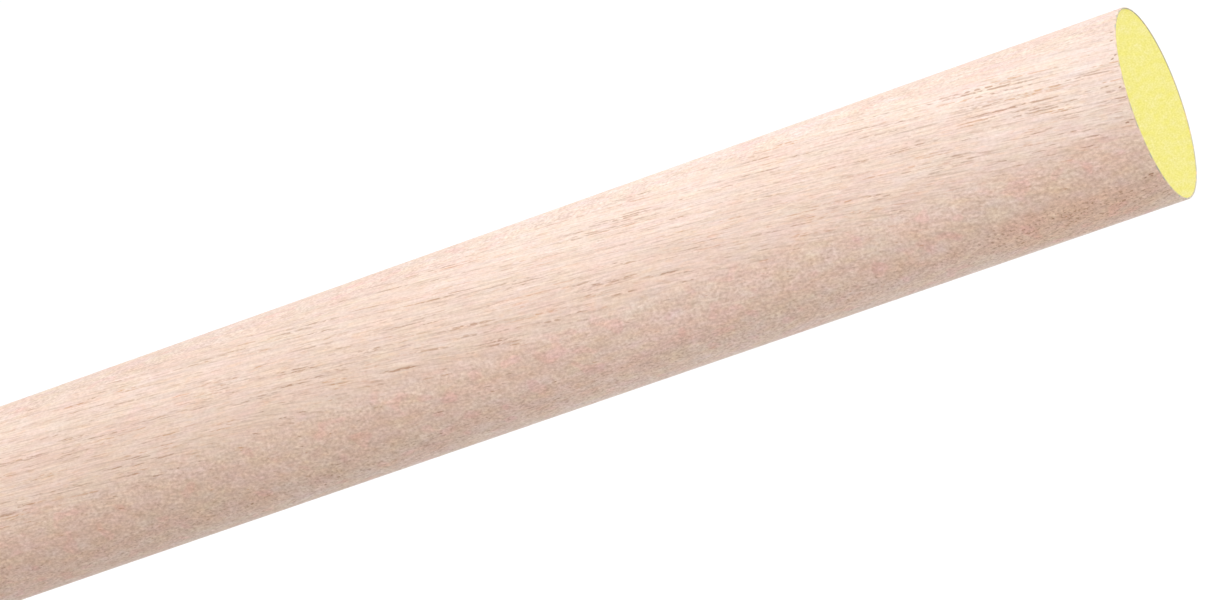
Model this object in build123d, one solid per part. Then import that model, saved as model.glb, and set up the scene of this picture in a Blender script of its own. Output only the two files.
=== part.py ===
from build123d import *

import os

# A plain round hardwood dowel rod: one straight turned stick, cut square at both ends.
# Lengths are in millimetres. The rod stands on its plain end, so the origin is the centre
# of that end, +Z runs along the rod, and the end with the painted face is on top.

# Driving dimensions
ROD_LENGTH = 914.4  # 36 in, from end face to end face
ROD_DIAMETER = 31.75  # 1-1/4 in, over the turned side
PLAIN_EDGE_RADIUS = 0.4  # round the lower end, rubbed a little by standing and handling
PAINTED_EDGE_RADIUS = 0.2  # round the upper end, nearly as sharp as the saw left it


def half_section(length, diameter, lower_edge_radius, upper_edge_radius):
    """Half of the rod's lengthwise section, on the XZ plane, with its flat on the Z axis."""
    radius = diameter / 2
    lower_face_edge = (radius - lower_edge_radius, 0)
    side_bottom = (radius, lower_edge_radius)
    side_top = (radius, length - upper_edge_radius)
    upper_face_edge = (radius - upper_edge_radius, length)
    with BuildSketch(Plane.XZ) as section:
        with BuildLine():
            Line((0, 0), lower_face_edge)
            RadiusArc(lower_face_edge, side_bottom, -lower_edge_radius)
            Line(side_bottom, side_top)
            RadiusArc(side_top, upper_face_edge, -upper_edge_radius)
            Line(upper_face_edge, (0, length))
            Line((0, length), (0, 0))
        make_face()
    return section.sketch


def make_dowel_rod():
    """The rod: its half section turned once round +Z."""
    section = half_section(ROD_LENGTH, ROD_DIAMETER, PLAIN_EDGE_RADIUS, PAINTED_EDGE_RADIUS)
    rod = revolve(section, Axis.Z)
    rod.label = "dowel_rod"
    return rod


os.makedirs("parts", exist_ok=True)
export_step(make_dowel_rod(), "parts/dowel_rod.step")
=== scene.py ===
"""The look of a wooden dowel rod: a bare, pale hardwood stick, one end face painted yellow.

Lengths are in metres, in the row frame: the rod stands on its plain end, +Z runs along it,
and the painted end is on top. The front of the rod, which the camera sees, is its -Y side.
A turn is an angle round the rod in degrees, from the front towards -X. The sizes of patterns
are in millimetres: in the wood they go towards the bark, across, and up the fibre.
"""

import math
import random
from typing import NamedTuple

import bpy
from mathutils import Matrix, Vector, noise


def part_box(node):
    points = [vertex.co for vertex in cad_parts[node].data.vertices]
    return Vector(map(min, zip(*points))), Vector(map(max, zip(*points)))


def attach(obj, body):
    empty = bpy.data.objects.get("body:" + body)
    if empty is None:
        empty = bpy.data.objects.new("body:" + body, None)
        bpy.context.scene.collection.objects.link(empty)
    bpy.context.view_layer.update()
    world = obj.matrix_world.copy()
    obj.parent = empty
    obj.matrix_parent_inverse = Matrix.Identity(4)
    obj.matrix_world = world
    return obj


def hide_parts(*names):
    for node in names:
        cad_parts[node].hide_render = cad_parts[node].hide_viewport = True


MM = 0.001

# The rod's mesh. Up from the middle of the plain end, its zones are plain (the bare end face),
# side, edge (the eased edge by the paint), lip (the burr round the paint) and paint.
END_FACES = ("plain", "paint")
AROUND = 768  # points round the side
FEWEST_AROUND = 12  # points in the innermost rings of an end face
CROWDED = 0.75  # a ring there is thinned out if its points lie this close, against the side's
FACE_STEP = 0.34 * MM  # from ring to ring on an end face
NICK_STEP = 0.12 * MM  # from ring to ring up the side by each end, where it is nicked
NICK_STEPS = 22
SIDE_STEPS = 16  # steps up the side between its two nicked ends
ARC_STEPS = 5  # steps across each eased edge
SEAM_TURN = 180  # where the mesh and its map begin, at the back
SHARP_ANGLE = math.radians(35)  # an edge that bends more than this is shaded as sharp
BARE, PAINTED = 0, 1  # the rod's materials, by their places in its list

# The eased edges, and the burr that the saw left round the painted face
PLAIN_EDGE_RADIUS = 0.4 * MM
PAINTED_EDGE_RADIUS = 0.2 * MM
LIP_WIDTH = 0.07 * MM
LIP_HEIGHT = 0.12 * MM  # how far the burr stands above the paint
BURR_LEAST = {"edge": 0.65, "lip": 1.2}  # how burred they are, before noise makes that ragged
RAGGED_CELL = 1 * MM

# Nicks, where the saw tore the side; each front one is a turn and millimetres below the painted end
FRONT_NICKS = ((53, 0.6), (46, 0.8), (35, 0.4), (33, 1.0), (15, 0.8), (-5, 1.4), (-41, 1.5))
FRONT_NICK_SIZE = (0.17 * MM, 0.10 * MM)  # half its width, and its depth
STRAY_NICKS = 9  # by each end, strewn at random within the ranges below
STRAY_TURNS = (75, 345)
STRAY_FROM_END = (0.3 * MM, 2.8 * MM)
STRAY_HALF_WIDTHS = (0.14 * MM, 0.22 * MM)
STRAY_DEPTHS = (0.05 * MM, 0.12 * MM)
NICK_STRETCH = 2.6  # how many times longer than wide a nick is
NICK_SEED = 4

# The saw's marks on the plain end, and the lumps in the coat of paint
SAW_PITCH = 1.4 * MM
SAW_DEPTH = 0.05 * MM
SAW_ANGLE = math.radians(35)  # the way in which the marks follow each other, from +X
SAW_DRIFT_CELL = 9 * MM  # the marks bend over about this length
SAW_GRIT_CELL = 0.5 * MM
SAW_GRIT = 0.5  # how rough the marks are, as a share of their depth
LUMP_HEIGHT = 0.025 * MM
FINE_LUMP_CELL = 0.7 * MM
BROAD_LUMP_CELL = 3 * MM

# The map that the look is baked on: the side as one strip, and above it a disc for each end
# face. Places and sizes on it are shares of its width.
STRIP_HIGH = 0.68
STRIP_MARGIN = 0.004
NICKED_LENGTH = 4 * MM  # the stretch by each end that gets a wider share of the strip
NICKED_SHARE = 0.03  # that share, for each end
DISC_RADIUS = 0.152
DISC_CENTRES = {"plain": (0.16, 0.842), "paint": (0.48, 0.842)}

# The grain: how far the fibres drift to the front and to the side for each metre up the rod
LEAN_TO_FRONT = 0.13
LEAN_TO_SIDE = 0.035
BARK_TURN = 36  # the side that lay towards the bark
GRAIN_SHIFT = (-29, 20, 200)  # in millimetres, so that a well-marked stretch of grain lies in front
BENDS = (((14, 14, 90), (4, 4, 0)), ((4, 4, 14), (0.6, 0.3, 0)))  # of the fibres: cell and reach

# The flat-sawn sides, where long rows of pores lie open, are at this turn and opposite it, and
# the quarter-sawn sides between them. How far out a place lies towards the flat-sawn sides, as a
# share of the radius, says how flat-sawn or quarter-sawn it is.
FLAT_SAWN_TURN = 24
FLAT_SAWN_DEPTHS = (0.70, 0.96)  # where the flat-sawn look begins, and where it is full
QUARTER_SAWN_DEPTHS = (0.6, 0.2)  # the same for the quarter-sawn look

# Near the painted end, in the middle of the flat-sawn sides, more pores lie open
OPENED_BELOW = (48 * MM, 19.2 * MM)  # where that begins, below the end, and where it is full
OPENED_SIDE = (0.5, 1.0)  # how flat-sawn the side is where it begins, and where it is full

# Painted light falloff: a wave of paler and darker colour up the rod, darker away from the painted
# end
PAINTED_FALLOFF_PEAK = 859 * MM  # a height at which it is palest
PAINTED_FALLOFF_LENGTH = 300 * MM  # how far apart such heights are
PAINTED_FALLOFF_LEAST = 0.3  # how pale the flat-sawn sides stay between them, from 0 to 1

# A brownish, rubbed patch near the painted end
RUBBED_TURN = -58
RUBBED_BELOW = 16 * MM
RUBBED_REACH = (9, 9, 23)  # in millimetres, along X, Y and Z
RUBBED_CORE = 0.3  # the share of its reach within which it is rubbed all over
RUBBED_FLECKS = 2.3  # how many times stronger the flecks are there

# Colours, as shares of red, green and blue, and tints, by which a colour is multiplied
WOOD = (0.805, 0.625, 0.525)
# painted shade by side: darker and warmer off the flat-sawn sides, most on the shaded lower front,
# paler on them
PAINTED_SIDE_SHADE_TINTS = ((0.985, 0.972, 0.965), (1.008, 1.02, 1.028))  # off those sides, and on them
PAINTED_FALLOFF_TINTS = ((0.918, 0.903, 0.882), (1.02, 1.02, 1.02))  # at the darkest and the palest height
OPENED_TINT = (1.015, 1.035, 1.05)
RUBBED_TINT = (0.99, 0.93, 0.872)
PORE_TINT = (0.65, 0.515, 0.43)
# torn fibre in the nicks, with painted shade in their hollows
TORN_AND_SHADE_TINT = (0.62, 0.50, 0.42)
BURR_TAN = (0.69, 0.50, 0.31)
BURR_GREY = (0.47, 0.44, 0.36)
BURR_GREYS = (0.6, 1.2)  # how burred it is where the tan begins to turn grey, and where it is grey
PAINT = (0.844, 0.743, 0.208)
WHITE = (1, 1, 1)

# How rough the surface is: a low and a high place in the fibre's noise or the paint's grit, and
# the roughness at each
WOOD_ROUGHNESS = ((0.2, 0.8), (0.62, 0.78))
PAINT_ROUGHNESS = ((0.3, 0.7), (0.6, 0.75))
FIBRE_RELIEF = 0.4  # how high the fibres stand, against the depth of a pore


class Pattern(NamedTuple):
    """Noise in a material, and what it does there."""

    cell: tuple  # the size of its patches
    swing: tuple = (0, 0, 0)  # the share by which it brings the colour up and down
    tint: tuple = WHITE  # the tint of its marks, which lie where the noise is high
    onset: tuple = (0.0, 1.0)  # the noise at which a mark begins, and at which it is full
    shares: tuple = (1.0, 1.0)  # how much of it there is off the flat-sawn sides, and on them
    detail: float = 1.0
    roughness: float = 0.5
    shift: tuple = (0, 0, 0)  # keeps it from following another pattern


# Patterns that bring the wood's colour up and down all over. Specks, threads and clouds show
# most off the flat-sawn sides, fibres and streaks most on them, and blush and tan change the hue.
WOOD_DRIFTS = {
    "speck": Pattern((0.44, 0.38, 0.6), swing=(0.24, 0.33, 0.40), shares=(1.5, 0.6),
                     detail=2.0, roughness=0.6),
    "thread": Pattern((0.28, 0.28, 6), swing=(0.065, 0.09, 0.11), shares=(1.0, 0.0)),
    "fibre": Pattern((0.9, 0.24, 14), swing=(0.18, 0.215, 0.24), shares=(0.5, 1.0)),
    "streak": Pattern((2.0, 0.7, 14), swing=(0.045, 0.07, 0.085), shares=(0.5, 1.0)),
    "cloud": Pattern((2.0, 2.0, 3), swing=(0.075, 0.12, 0.145), shares=(1.0, 0.3)),
    "band": Pattern((3, 9, 60), swing=(0.04, 0.07, 0.09)),
    "blush": Pattern((4, 2.4, 8), swing=(0.04, -0.09, -0.06), shares=(0.95, 0.65),
                     detail=3.0, roughness=0.65),
    "tan": Pattern((2.6, 1.2, 5), swing=(0.015, 0.0, -0.15), shares=(0.95, 0.65),
                   detail=2.0, roughness=0.6, shift=(300, 100, 200)),
}

# Patterns of separate marks in the wood: thin dark lines, pink and yellow spots, and flecks
WOOD_MARKS = {
    "hair": Pattern((1.0, 0.17, 4), tint=(0.86, 0.81, 0.77), onset=(0.57, 0.70), shares=(0.3, 1.0)),
    "rose": Pattern((2.6, 1.8, 3), tint=(1.015, 0.94, 0.96), onset=(0.61, 0.75), shares=(1.0, 0.3),
                    detail=0.0, shift=(200, 500, 100)),
    "amber": Pattern((1.8, 0.6, 2.4), tint=(1.0, 0.955, 0.89), onset=(0.58, 0.72),
                     shares=(0.4, 0.8), shift=(100, 700, 400)),
}
FLECKS = Pattern((0.36, 0.3, 0.6), tint=(0.74, 0.635, 0.565), onset=(0.56, 0.68))
FLECK_SHARES = (0.0, 0.7)  # how much of them there is off the quarter-sawn sides, and on them

# The pores: tubes up the fibre, each in a cell of its own, which show as rows of dashes
TUBE_CELL = (1.9, 0.42, 1)  # the third doesn't count, as a tube runs right through the wood
TUBE_WAVER = ((1.5, 1.0, 1.5), (0, 0.22, 0))  # cell and reach
TUBE_BORES = (0.26, 0.50)  # the radii of the narrowest and the widest, in cells
TUBE_CORE = 0.3  # the share of a tube's radius within which it is dark all over
TUBE_DEPTHS = (0.5, 1.0)  # of the palest tube and of the darkest
TUBE_OFFSET = 50 * MM  # how far one tube's dashes may be moved along it against another's
DASHES = Pattern((0.5, 0.4, 1.5), onset=(0.42, 0.56), detail=1.5, roughness=0.6)

# What makes the tubes narrower and wider: stretches of the grain, the side, and the opened part
STRETCHES = Pattern((6, 4, 30), onset=(0.3, 0.6), detail=0.0)
STRETCH_FACTORS = (0.75, 1.1)  # between the stretches, and in them
SIDE_FACTORS = (0.3, 1.0)  # off the flat-sawn sides, and on them
SIDE_ONSET = (0.0, 0.9)  # how flat-sawn it is at these two
OPENED_FACTORS = (1.0, 1.12)  # away from the opened part, and in it

# Patches in which more pores show, and places where they hold resin
PATCHES = Pattern((2.0, 0.9, 6), onset=(0.36, 0.52), detail=0.0)
PATCH_SHARES = (0.25, 1.0)  # between the patches, and in them
RESIN = Pattern((4, 1.6, 14), tint=(0.82, 0.635, 0.48), onset=(0.48, 0.60), detail=0.0)

# The shreds that make a nick's outline ragged. They are added to how deep in the nick a place is,
# from 0 to 1, and the tear begins and is full where the sum is this.
SHREDS = Pattern((0.22, 0.22, 0.5), detail=0.0)
SHRED_REACH = 1.2
TORN_ONSET = (0.25, 0.75)

# The paint's patterns, along X, Y and Z
PAINT_GRIT = Pattern((0.25, 1.2, 0.25), swing=(0.14, 0.16, 0.75))
PAINT_CLOUD = Pattern((1.1, 6, 1.1), swing=(0.01, 0.015, 0.45))

# The view of the painted end: looking down at it, rolled so that the rod runs to lower left
VIEW_DOWN = math.radians(19.47)
VIEW_ROLL = math.radians(70.76)
END_FROM_CAMERA = Vector((0.08544, 0.03083, -0.99755))  # its middle, in the camera's own axes
LENS_MM = 188.0
SENSOR_MM = 36.0
NEAREST, FARTHEST = 0.05, 200.0  # what the camera shows

# The studio
FLOOR_HALF = 60.0  # half the floor's width
FLOOR = (0.75, 0.72, 0.68)
FLOOR_GLOW = (0.92, 1.0, 1.1)  # this brings the lit floor up to white, for the camera alone
FLOOR_GLOW_STRENGTH = 0.23
SKY = (0.24, 0.16, 0.12)


def outward(turn):
    """The X and Y of the way straight out from the rod's axis at this turn."""
    angle = math.radians(turn)
    return -math.sin(angle), -math.cos(angle)


# ---------------------------------------------------------------- the rod's mesh


def side_heights(low, high):
    """Ring heights up the side: close together by the ends, where it is nicked, and far between."""
    close = [NICK_STEP * step for step in range(1, NICK_STEPS + 1)]
    first, last = low + close[-1], high - close[-1]
    middle = [first + (last - first) * step / SIDE_STEPS for step in range(1, SIDE_STEPS)]
    return [low] + [low + h for h in close] + middle + [high - h for h in reversed(close)] + [high]


def arc(radius, height, ease, start, end):
    """Points of an eased edge about (radius, height), for angles from start to end, in degrees."""
    points = []
    for step in range(1, ARC_STEPS):
        angle = math.radians(start + (end - start) * step / ARC_STEPS)
        points.append((radius + ease * math.cos(angle), height + ease * math.sin(angle)))
    return points


def face_radii(outer):
    """Ring radii on an end face, from the innermost out to the edge."""
    count = round(outer / FACE_STEP)
    return [outer * (step + 1) / count for step in range(count)]


def profile(radius, length):
    """Rings from the middle of the plain end to the middle of the painted one: (zone, r, z)."""
    low_flat = radius - PLAIN_EDGE_RADIUS
    high_flat = radius - PAINTED_EDGE_RADIUS
    paint_edge = high_flat - LIP_WIDTH
    paint_height = length - LIP_HEIGHT
    low_arc = arc(low_flat, PLAIN_EDGE_RADIUS, PLAIN_EDGE_RADIUS, -90, 0)
    heights = side_heights(PLAIN_EDGE_RADIUS, length - PAINTED_EDGE_RADIUS)
    high_arc = arc(high_flat, length - PAINTED_EDGE_RADIUS, PAINTED_EDGE_RADIUS, 0, 90)
    rings = [("plain", r, 0.0) for r in face_radii(low_flat)]
    rings += [("side", r, z) for r, z in low_arc]
    rings += [("side", radius, z) for z in heights]
    rings += [("edge", r, z) for r, z in high_arc]
    rings += [("lip", high_flat, length), ("lip", high_flat - LIP_WIDTH / 2, length)]
    rings += [("lip", paint_edge, paint_height)]
    rings += [("paint", r, paint_height) for r in reversed(face_radii(paint_edge)[:-1])]
    return rings


def choose_nicks(length):
    """Where the saw tore the side by each end: (turn, height, half width, depth)."""
    nicks = [(turn, length - below * MM, *FRONT_NICK_SIZE) for turn, below in FRONT_NICKS]
    near, far = STRAY_FROM_END
    for heights in ((near, far), (length - far, length - near)):
        for _ in range(STRAY_NICKS):
            nicks.append((random.uniform(*STRAY_TURNS), random.uniform(*heights),
                          random.uniform(*STRAY_HALF_WIDTHS), random.uniform(*STRAY_DEPTHS)))
    return nicks


def torn_at(nicks, turn, height, radius):
    """How much of the surface is torn here, from 0 to 1, and how deep that goes."""
    torn, depth = 0.0, 0.0
    for nick_turn, nick_height, half_width, nick_depth in nicks:
        turned = (turn - nick_turn + 180) % 360 - 180  # the shorter way round
        aside = math.radians(turned) * radius / half_width
        along = (height - nick_height) / (NICK_STRETCH * half_width)
        share = max(0.0, 1 - aside * aside - along * along)
        torn = max(torn, share)
        depth = max(depth, share * nick_depth)
    return torn, depth


def flat_noise(x, y, cell, layer):
    """Smooth noise from -1 to 1 over a flat face, in cells of this size; each layer is another."""
    return noise.noise((x / cell, y / cell, layer))


def saw_mark(x, y):
    """How deep the saw's marks are at a place on the plain end."""
    line = x * math.cos(SAW_ANGLE) + y * math.sin(SAW_ANGLE)
    drift = flat_noise(x, y, SAW_DRIFT_CELL, layer=0)
    wave = 0.5 - 0.5 * math.cos(2 * math.pi * (line / SAW_PITCH + drift))
    grit = flat_noise(x, y, SAW_GRIT_CELL, layer=3)
    return max(0.0, SAW_DEPTH * (wave + SAW_GRIT * grit))


def paint_rise(x, y):
    """How far the coat of paint stands above or below its mean height."""
    fine = flat_noise(x, y, FINE_LUMP_CELL, layer=5)
    broad = flat_noise(x, y, BROAD_LUMP_CELL, layer=9)
    return LUMP_HEIGHT * (fine + broad)


class RodShape:
    """The rod's points and faces while they are made, ring by ring up from the plain end."""

    def __init__(self, radius, length):
        self.radius = radius
        self.nicks = choose_nicks(length)
        self.points, self.torn, self.burr = [], [], []
        self.places = []  # how far along the map's strip each point is, and how far round
        self.faces, self.zones = [], []

    def add_point(self, zone, r, z, turn):
        x, y = outward(turn)
        torn, depth, burr = 0.0, 0.0, 0.0
        if zone not in END_FACES:
            torn, depth = torn_at(self.nicks, turn, z, self.radius)
        if zone in BURR_LEAST:
            ragged = flat_noise(x * self.radius, y * self.radius, RAGGED_CELL, layer=0)
            burr = max(0.0, BURR_LEAST[zone] + ragged)
        if zone == "plain":
            z += saw_mark(x * r, y * r)
        if zone == "paint":
            z += paint_rise(x * r, y * r)
        self.points.append(((r - depth) * x, (r - depth) * y, z))
        self.torn.append(torn)
        self.burr.append(burr)

    def add_ring(self, zone, r, z, u):
        """Adds a ring, u of the way along the map's strip, and gives its first point and count."""
        start, count = len(self.points), AROUND
        if zone in END_FACES:
            while count > FEWEST_AROUND and r < CROWDED * self.radius * count / AROUND:
                count //= 2
        for step in range(count):
            self.add_point(zone, r, z, SEAM_TURN - 360 * step / count)
            self.places.append((u, step / count))
        return start, count

    def bridge(self, zone, low, high):
        """Adds the faces between two rings; one may have twice as many points as the other."""
        (a, a_count), (b, b_count) = low, high
        fewer, more = min(a_count, b_count), max(a_count, b_count)
        made = []
        for step in range(fewer):
            here, after = step, (step + 1) % fewer
            near, mid, far = 2 * step, 2 * step + 1, (2 * step + 2) % more
            if a_count == b_count:
                made.append((a + here, a + after, b + after, b + here))
            elif a_count < b_count:
                made += [(a + here, b + mid, b + near), (a + here, a + after, b + mid),
                         (a + after, b + far, b + mid)]
            else:
                made += [(a + near, a + mid, b + here), (a + mid, b + after, b + here),
                         (a + mid, a + far, b + after)]
        self.faces += made
        self.zones += [zone] * len(made)

    def close(self, zone, ring):
        """Adds the faces from the innermost ring of an end face to its middle."""
        start, count = ring
        centre = len(self.points)
        self.points.append((0.0, 0.0, self.points[start][2]))
        self.torn.append(0.0)
        self.burr.append(0.0)
        self.places.append((0.0, 0.0))
        for step in range(count):
            here, after = start + step, start + (step + 1) % count
            self.faces.append((centre, after, here) if zone == "plain" else (centre, here, after))
            self.zones.append(zone)

    def map_spot(self, zone, vertex, wraps):
        """Where a face's point lies on the map that the look is baked on."""
        if zone in END_FACES:
            scale = DISC_RADIUS / self.radius
            x, y, _ = self.points[vertex]
            return DISC_CENTRES[zone][0] + scale * x, DISC_CENTRES[zone][1] + scale * y
        u, v = self.places[vertex]
        v = 1.0 if wraps and v == 0.0 else v
        return (STRIP_MARGIN + (1 - 2 * STRIP_MARGIN) * u,
                STRIP_MARGIN + (STRIP_HIGH - 2 * STRIP_MARGIN) * v)

    def to_object(self, name):
        """The shape as a Blender object, smooth but for its sharp edges, with its map."""
        mesh = bpy.data.meshes.new(name)
        mesh.from_pydata(self.points, [], self.faces)
        mesh.attributes.new("torn", "FLOAT", "POINT").data.foreach_set("value", self.torn)
        mesh.attributes.new("burr", "FLOAT", "POINT").data.foreach_set("value", self.burr)
        layout = mesh.uv_layers.new(name="OFBake").uv
        for polygon, zone in zip(mesh.polygons, self.zones):
            polygon.material_index = PAINTED if zone == "paint" else BARE
            around = [self.places[vertex][1] for vertex in polygon.vertices]
            wraps = max(around) - min(around) > 0.5  # it lies across the seam
            for loop, vertex in zip(polygon.loop_indices, polygon.vertices):
                layout[loop].vector = self.map_spot(zone, vertex, wraps)
        mesh.shade_smooth()
        mesh.set_sharp_from_angle(angle=SHARP_ANGLE)
        made = bpy.data.objects.new(name, mesh)
        bpy.context.collection.objects.link(made)
        return made


def strip_shares(rings):
    """How far along the map's strip each ring lies, from 0 to 1, with more room for nicked ends."""
    run, runs = 0.0, [0.0]
    for (_, r_before, z_before), (zone, r, z) in zip(rings, rings[1:]):
        if zone not in END_FACES:
            run += math.hypot(r - r_before, z - z_before)
        runs.append(run)
    shares = []
    for place in runs:
        if place < NICKED_LENGTH:
            shares.append(NICKED_SHARE * place / NICKED_LENGTH)
        elif place > run - NICKED_LENGTH:
            shares.append(1 - NICKED_SHARE * (run - place) / NICKED_LENGTH)
        else:
            middle = (place - NICKED_LENGTH) / (run - 2 * NICKED_LENGTH)
            shares.append(NICKED_SHARE + (1 - 2 * NICKED_SHARE) * middle)
    return shares


def make_rod(radius, length):
    """The rod as one closed mesh, with its wood and its paint still to be added, in this order."""
    rings = profile(radius, length)
    shape = RodShape(radius, length)
    made = [shape.add_ring(zone, r, z, u) for (zone, r, z), u in zip(rings, strip_shares(rings))]
    for index in range(1, len(rings)):
        shape.bridge(rings[index][0], made[index - 1], made[index])
    shape.close("plain", made[0])
    shape.close("paint", made[-1])
    return shape.to_object("rod")


# ---------------------------------------------------------------- materials


class Nodes:
    """A short way to fill the node tree of a material or of the world."""

    def __init__(self, owner):
        owner.use_nodes = True
        self.tree = owner.node_tree
        self.tree.nodes.clear()

    def add(self, kind, inputs=(), **settings):
        """A new node; an input is a value, or another node's output to link it to."""
        node = self.tree.nodes.new("ShaderNode" + kind)
        for name, value in settings.items():
            setattr(node, name, value)
        for key, value in dict(inputs).items():
            if isinstance(value, bpy.types.NodeSocket):
                self.tree.links.new(value, node.inputs[key])
            else:
                node.inputs[key].default_value = value
        return node

    def attribute(self, name):
        return self.add("Attribute", attribute_name=name).outputs["Fac"]

    def math(self, operation, a, b=0.0):
        return self.add("Math", {0: a, 1: b}, operation=operation).outputs[0]

    def times(self, a, b):
        return self.math("MULTIPLY", a, b)

    def vector(self, operation, *values):
        return self.add("VectorMath", enumerate(values), operation=operation).outputs["Vector"]

    def measure(self, operation, *values):
        """A number worked out from vectors, such as a length."""
        return self.add("VectorMath", enumerate(values), operation=operation).outputs["Value"]

    def stretch(self, vector, cell):
        """The vector counted in cells of this size, in millimetres, along its three axes."""
        return self.vector("MULTIPLY", vector, [1 / (size * MM) for size in cell])

    def noise(self, vector, cell, detail=0.0, roughness=0.5, output="Fac"):
        inputs = {"Vector": self.stretch(vector, cell), "Scale": 1.0, "Detail": detail,
                  "Roughness": roughness}
        return self.add("TexNoise", inputs).outputs[output]

    def shift(self, vector, millimetres):
        """The vector moved by so many millimetres along each axis."""
        return self.vector("ADD", vector, [size * MM for size in millimetres])

    def wander(self, vector, cell, reach):
        """The vector moved about by a smooth noise; reach is in millimetres for each axis."""
        step = [size * MM for size in reach]
        back = [-0.5 * size for size in step]
        move = self.vector("MULTIPLY_ADD", self.noise(vector, cell, output="Color"), step, back)
        return self.vector("ADD", vector, move)

    def ramp(self, value, start, to=(0.0, 1.0)):
        """value carried smoothly from the two ends of start to the two ends of to."""
        inputs = {"Value": value, "From Min": start[0], "From Max": start[1],
                  "To Min": to[0], "To Max": to[1]}
        return self.add("MapRange", inputs, interpolation_type="SMOOTHSTEP").outputs[0]

    def noise_of(self, pattern, place):
        """The pattern's noise at the place, from 0 to 1."""
        return self.noise(self.shift(place, pattern.shift), pattern.cell, pattern.detail,
                          pattern.roughness)

    def marks_of(self, pattern, place):
        """The pattern's marks at the place, from 0 to 1."""
        return self.ramp(self.noise_of(pattern, place), pattern.onset)

    def weaken(self, value, share):
        """value brought in towards a half, to this share of its swing."""
        swing = self.times(self.math("SUBTRACT", value, 0.5), share)
        return self.math("ADD", swing, 0.5)

    def mix(self, factor, a, b, blend="MIX"):
        """Two colours mixed; 6, 7 and 2 are where a Mix node takes and gives colours."""
        node = self.add("Mix", {0: factor, 6: a, 7: b}, data_type="RGBA", blend_type=blend)
        return node.outputs[2]

    def shade(self, colour, factor, low, high):
        """The colour times the tint low where factor is 0, and times high where it is 1."""
        return self.mix(1.0, colour, self.mix(factor, (*low, 1), (*high, 1)), "MULTIPLY")

    def tinted(self, colour, factor, tint):
        """The colour times the tint where factor is 1, and as it was where factor is 0."""
        return self.shade(colour, factor, WHITE, tint)

    def swung(self, colour, factor, swing):
        """The colour brought down by the swing where factor is 0, and up by it where it is 1."""
        low, high = [1 - share for share in swing], [1 + share for share in swing]
        return self.shade(colour, factor, low, high)

    def surface(self, colour, roughness, gloss, height, relief, strength):
        """Ends a material: its shader, with bumps that follow height and are relief high."""
        bump = self.add("Bump", {"Height": height, "Distance": relief, "Strength": strength})
        shader = self.add("BsdfPrincipled", {"Base Color": colour, "Roughness": roughness,
                                             "Normal": bump.outputs[0],
                                             "Specular IOR Level": gloss})
        self.add("OutputMaterial", {"Surface": shader.outputs[0]})


def grain_turn():
    """The turn that carries the rod's axes to the grain's: X towards the bark, Z up the fibre."""
    fibre = Vector((LEAN_TO_SIDE, -LEAN_TO_FRONT, 1.0)).normalized()
    bark = Vector((*outward(BARK_TURN), 0.0))
    across = fibre.cross(bark).normalized()
    bark = across.cross(fibre)
    return Matrix((bark, across, fibre)).to_euler("XYZ")


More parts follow.
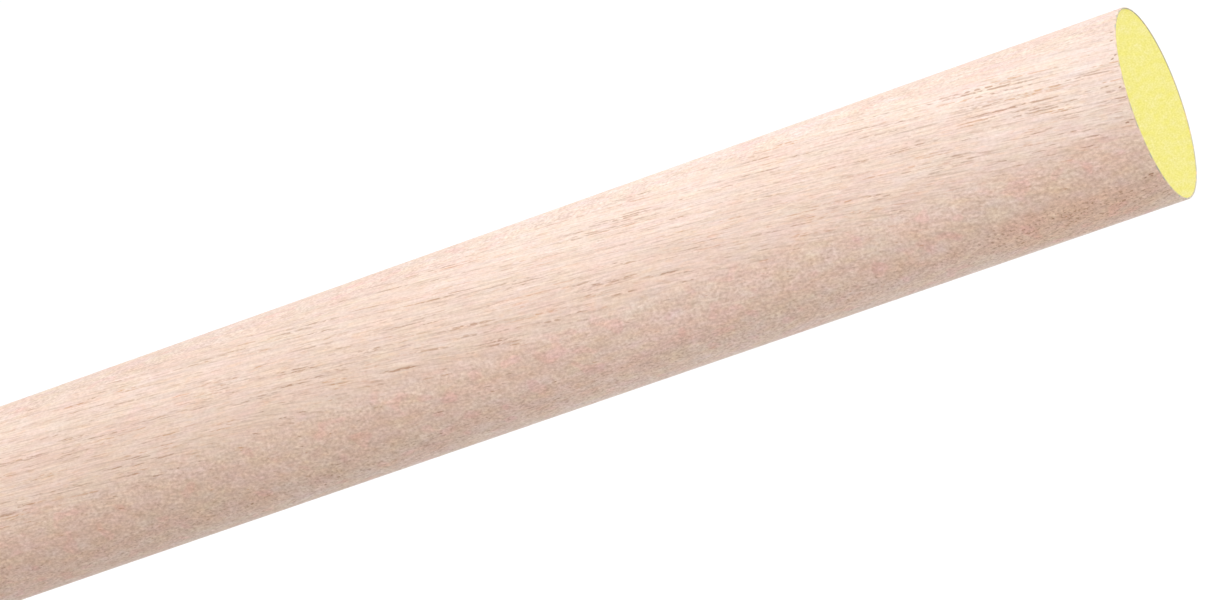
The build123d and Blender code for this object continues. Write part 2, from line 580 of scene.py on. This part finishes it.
class Wood(Nodes):
    """The bare wood's nodes. Its patterns fill the grain, and the rod's surface cuts them."""

    def __init__(self, owner, radius, length):
        super().__init__(owner)
        self.place = self.add("TexCoord").outputs["Object"]
        self.height = self.add("SeparateXYZ", {0: self.place}).outputs[2]
        self.grain = self.lay_grain()
        self.flat_sawn, self.quarter_sawn = self.sawn_sides(radius)
        self.opened = self.opened_stretch(length)
        self.rubbed = self.rubbed_patch(radius, length)

    def lay_grain(self):
        """The place in the grain: how far towards the bark, across, and up the bent fibres."""
        straight = self.add("Mapping", {"Vector": self.place, "Rotation": grain_turn()}).outputs[0]
        grain = self.shift(straight, GRAIN_SHIFT)
        for cell, reach in BENDS:
            grain = self.wander(grain, cell, reach)
        return grain

    def sawn_sides(self, radius):
        """How flat-sawn and how quarter-sawn the side is here, each from 0 to 1."""
        towards = (*outward(FLAT_SAWN_TURN), 0)
        depth = self.math("ABSOLUTE", self.measure("DOT_PRODUCT", self.place, towards))
        return [self.ramp(depth, [share * radius for share in depths])
                for depths in (FLAT_SAWN_DEPTHS, QUARTER_SAWN_DEPTHS)]

    def opened_stretch(self, length):
        """How many more pores lie open here, from 0 to 1."""
        stretch = self.ramp(self.height, [length - below for below in OPENED_BELOW])
        return self.times(stretch, self.ramp(self.flat_sawn, OPENED_SIDE))

    def rubbed_patch(self, radius, length):
        """How rubbed the wood is here, from 0 to 1."""
        x, y = outward(RUBBED_TURN)
        middle = (radius * x, radius * y, length - RUBBED_BELOW)
        away = self.stretch(self.vector("SUBTRACT", self.place, middle), RUBBED_REACH)
        return self.ramp(self.measure("LENGTH", away), (1.0, RUBBED_CORE))

    def by_side(self, shares):
        """The first share off the flat-sawn sides, and the second where they are full."""
        return self.ramp(self.flat_sawn, (0, 1), shares)

    def bores(self):
        """How many times wider the tubes are here than TUBE_BORES says."""
        bore = self.ramp(self.noise_of(STRETCHES, self.grain), STRETCHES.onset, STRETCH_FACTORS)
        bore = self.times(bore, self.ramp(self.flat_sawn, SIDE_ONSET, SIDE_FACTORS))
        return self.times(bore, self.ramp(self.opened, (0, 1), OPENED_FACTORS))

    def pores(self):
        """How dark the pores make the wood, from 0 to 1: tubes, cut into rows of thin dashes."""
        waver = self.stretch(self.wander(self.grain, *TUBE_WAVER), TUBE_CELL)
        tube = self.add("TexVoronoi", {"Vector": waver, "Scale": 1.0}, voronoi_dimensions="2D")
        kind = self.add("SeparateXYZ", {0: tube.outputs["Color"]}).outputs
        bore = self.times(self.bores(), self.ramp(kind[0], (0, 1), TUBE_BORES))
        pore = self.ramp(tube.outputs["Distance"], (bore, self.times(bore, TUBE_CORE)))
        offset = self.vector("MULTIPLY", tube.outputs["Color"], (0, 0, TUBE_OFFSET))
        pore = self.times(pore, self.marks_of(DASHES, self.vector("ADD", self.grain, offset)))
        patches = self.ramp(self.noise_of(PATCHES, self.grain), PATCHES.onset, PATCH_SHARES)
        pore = self.times(pore, self.math("MAXIMUM", patches, self.opened))
        return self.times(pore, self.ramp(kind[1], (0, 1), TUBE_DEPTHS))

    def flecks(self):
        """Short flecks on the quarter-sawn sides, most of all where they are rubbed."""
        sides = self.ramp(self.quarter_sawn, (0, 1), FLECK_SHARES)
        rubbed = self.ramp(self.rubbed, (0, 1), (1.0, RUBBED_FLECKS))
        return self.times(self.times(self.marks_of(FLECKS, self.grain), sides), rubbed)

    def painted_falloff(self):
        """How pale the painted light falloff leaves the wood at this height, from 0 to 1."""
        from_peak = self.math("SUBTRACT", self.height, PAINTED_FALLOFF_PEAK)
        wave = self.times(from_peak, 2 * math.pi / PAINTED_FALLOFF_LENGTH)
        wave = self.ramp(self.math("COSINE", wave), (-1, 1))
        return self.math("MAXIMUM", wave, self.times(self.flat_sawn, PAINTED_FALLOFF_LEAST))

    def torn(self):
        """How torn the surface is, from 0 to 1: the mesh's nicks, with shredded outlines."""
        shreds = self.math("SUBTRACT", self.noise_of(SHREDS, self.grain), 0.5)
        shreds = self.times(shreds, SHRED_REACH)
        return self.ramp(self.math("ADD", self.attribute("torn"), shreds), TORN_ONSET)

    def burred(self, colour):
        """The colour, with that of the burr over it."""
        burr = self.attribute("burr")
        fluff = self.mix(self.ramp(burr, BURR_GREYS), (*BURR_TAN, 1), (*BURR_GREY, 1))
        return self.mix(self.ramp(burr, (0, 1)), colour, fluff)


def wood_material(radius, length):
    """Bare wood: its patterns over its plain colour, painted shade by side and by height, then the
    pores, the nicks with painted shade in them, and the burr.
    """
    material = bpy.data.materials.new("bare_wood")
    wood = Wood(material, radius, length)
    colour = (*WOOD, 1)
    drifts = {}
    for name, pattern in WOOD_DRIFTS.items():
        drifts[name] = wood.weaken(wood.noise_of(pattern, wood.grain), wood.by_side(pattern.shares))
        colour = wood.swung(colour, drifts[name], pattern.swing)
    for pattern in WOOD_MARKS.values():
        marks = wood.times(wood.marks_of(pattern, wood.grain), wood.by_side(pattern.shares))
        colour = wood.tinted(colour, marks, pattern.tint)
    # painted shade: the shaded lower front darker and warmer, the front paler
    colour = wood.shade(colour, wood.flat_sawn, *PAINTED_SIDE_SHADE_TINTS)
    # painted shade: the light falloff, darker away from the painted end
    colour = wood.shade(colour, wood.painted_falloff(), *PAINTED_FALLOFF_TINTS)
    colour = wood.tinted(colour, wood.opened, OPENED_TINT)
    colour = wood.tinted(colour, wood.rubbed, RUBBED_TINT)
    colour = wood.tinted(colour, wood.flecks(), FLECKS.tint)
    pores = wood.pores()
    stain = wood.mix(wood.marks_of(RESIN, wood.grain), (*PORE_TINT, 1), (*RESIN.tint, 1))
    colour = wood.mix(1.0, colour, wood.mix(pores, (*WHITE, 1), stain), "MULTIPLY")
    # the nicks darkened: torn fibre, and painted shade in their hollows
    colour = wood.tinted(colour, wood.torn(), TORN_AND_SHADE_TINT)
    roughness = wood.ramp(drifts["fibre"], *WOOD_ROUGHNESS)
    height = wood.math("SUBTRACT", wood.times(drifts["fibre"], FIBRE_RELIEF), pores)
    wood.surface(wood.burred(colour), roughness, gloss=0.5, height=height, relief=0.03 * MM,
                 strength=0.5)
    return material


def paint_material():
    """Matt yellow paint with a fine grit in it."""
    material = bpy.data.materials.new("yellow_paint")
    paint = Nodes(material)
    place = paint.add("TexCoord").outputs["Object"]
    grit = paint.noise_of(PAINT_GRIT, place)
    colour = paint.swung((*PAINT, 1), grit, PAINT_GRIT.swing)
    colour = paint.swung(colour, paint.noise_of(PAINT_CLOUD, place), PAINT_CLOUD.swing)
    roughness = paint.ramp(grit, *PAINT_ROUGHNESS)
    paint.surface(colour, roughness, gloss=0.3, height=grit, relief=0.04 * MM, strength=0.4)
    return material


# ---------------------------------------------------------------- floor, light and camera


def make_floor():
    """A pale floor that the camera sees as white, with the rod's shadow on it."""
    material = bpy.data.materials.new("floor")
    nodes = Nodes(material)
    seen = nodes.add("LightPath").outputs["Is Camera Ray"]
    matt = nodes.add("BsdfDiffuse", {"Color": (*FLOOR, 1)})
    glow = nodes.add("Emission", {"Color": (*FLOOR_GLOW, 1),
                                  "Strength": nodes.times(seen, FLOOR_GLOW_STRENGTH)})
    both = nodes.add("AddShader", {0: matt.outputs[0], 1: glow.outputs[0]})
    nodes.add("OutputMaterial", {"Surface": both.outputs[0]})
    mesh = bpy.data.meshes.new("floor")
    h = FLOOR_HALF
    mesh.from_pydata([(-h, -h, 0), (h, -h, 0), (h, h, 0), (-h, h, 0)], [], [(0, 1, 2, 3)])
    mesh.materials.append(material)
    floor = bpy.data.objects.new("floor", mesh)
    bpy.context.collection.objects.link(floor)


def make_world():
    """Faint light from all round, and a white background for the camera."""
    world = bpy.data.worlds.new("studio")
    bpy.context.scene.world = world
    nodes = Nodes(world)
    seen = nodes.add("LightPath").outputs["Is Camera Ray"]
    sky = nodes.add("Background", {"Color": (*SKY, 1)})
    white = nodes.add("Background", {"Color": (*WHITE, 1)})
    pick = nodes.add("MixShader", {0: seen, 1: sky.outputs[0], 2: white.outputs[0]})
    nodes.add("OutputWorld", {"Surface": pick.outputs[0]})


def make_lamp(name, turn, rise, spread, strength, colour):
    """A far, soft lamp at this turn, risen above the floor and spread over so many degrees.

    At a strength of 1, a white surface that faces it comes out white.
    """
    lamp = bpy.data.lights.new(name, "SUN")
    lamp.energy = strength * math.pi
    lamp.color = colour
    lamp.angle = math.radians(spread)
    x, y = outward(turn)
    rise = math.radians(rise)
    towards = Vector((x * math.cos(rise), y * math.cos(rise), math.sin(rise)))
    holder = bpy.data.objects.new(name, lamp)
    holder.rotation_euler = towards.to_track_quat("Z", "Y").to_euler()
    bpy.context.collection.objects.link(holder)


def make_camera(end_centre):
    """The camera, set so that the painted end's middle lies where END_FROM_CAMERA says."""
    camera = bpy.data.cameras.new("camera")
    camera.lens = LENS_MM
    camera.sensor_width = SENSOR_MM
    camera.clip_start = NEAREST
    camera.clip_end = FARTHEST
    holder = bpy.data.objects.new("camera", camera)
    turn = Matrix.Rotation(math.pi / 2 - VIEW_DOWN, 4, "X") @ Matrix.Rotation(VIEW_ROLL, 4, "Z")
    place = Matrix.Translation(end_centre) @ turn @ Matrix.Translation(-END_FROM_CAMERA)
    holder.matrix_world = place
    bpy.context.collection.objects.link(holder)
    bpy.context.scene.camera = holder


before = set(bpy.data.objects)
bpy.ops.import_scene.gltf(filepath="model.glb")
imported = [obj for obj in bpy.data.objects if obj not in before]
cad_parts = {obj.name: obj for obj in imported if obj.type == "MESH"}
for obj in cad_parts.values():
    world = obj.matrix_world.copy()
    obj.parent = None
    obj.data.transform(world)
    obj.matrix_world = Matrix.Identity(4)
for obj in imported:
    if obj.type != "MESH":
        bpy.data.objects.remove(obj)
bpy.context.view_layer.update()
bpy.context.scene.view_settings.view_transform = "Standard"
random.seed(NICK_SEED)

rod_low, rod_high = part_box("dowel_rod")
rod_radius, rod_length = (rod_high[0] - rod_low[0]) / 2, rod_high[2]
make_camera(Vector((0.0, 0.0, rod_length)))
make_world()
make_lamp("key", turn=90, rise=30, spread=120, strength=1.12, colour=(0.89, 1.015, 1.12))
make_lamp("fill", turn=10, rise=30, spread=90, strength=0.37, colour=(1.0, 0.96, 0.94))
make_lamp("rim", turn=-140, rise=15, spread=60, strength=0.65, colour=(0.71, 0.94, 1.09))
make_floor()

rod = make_rod(rod_radius, rod_length)
rod.data.materials.append(wood_material(rod_radius, rod_length))
rod.data.materials.append(paint_material())
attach(rod, "root")
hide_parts("dowel_rod")
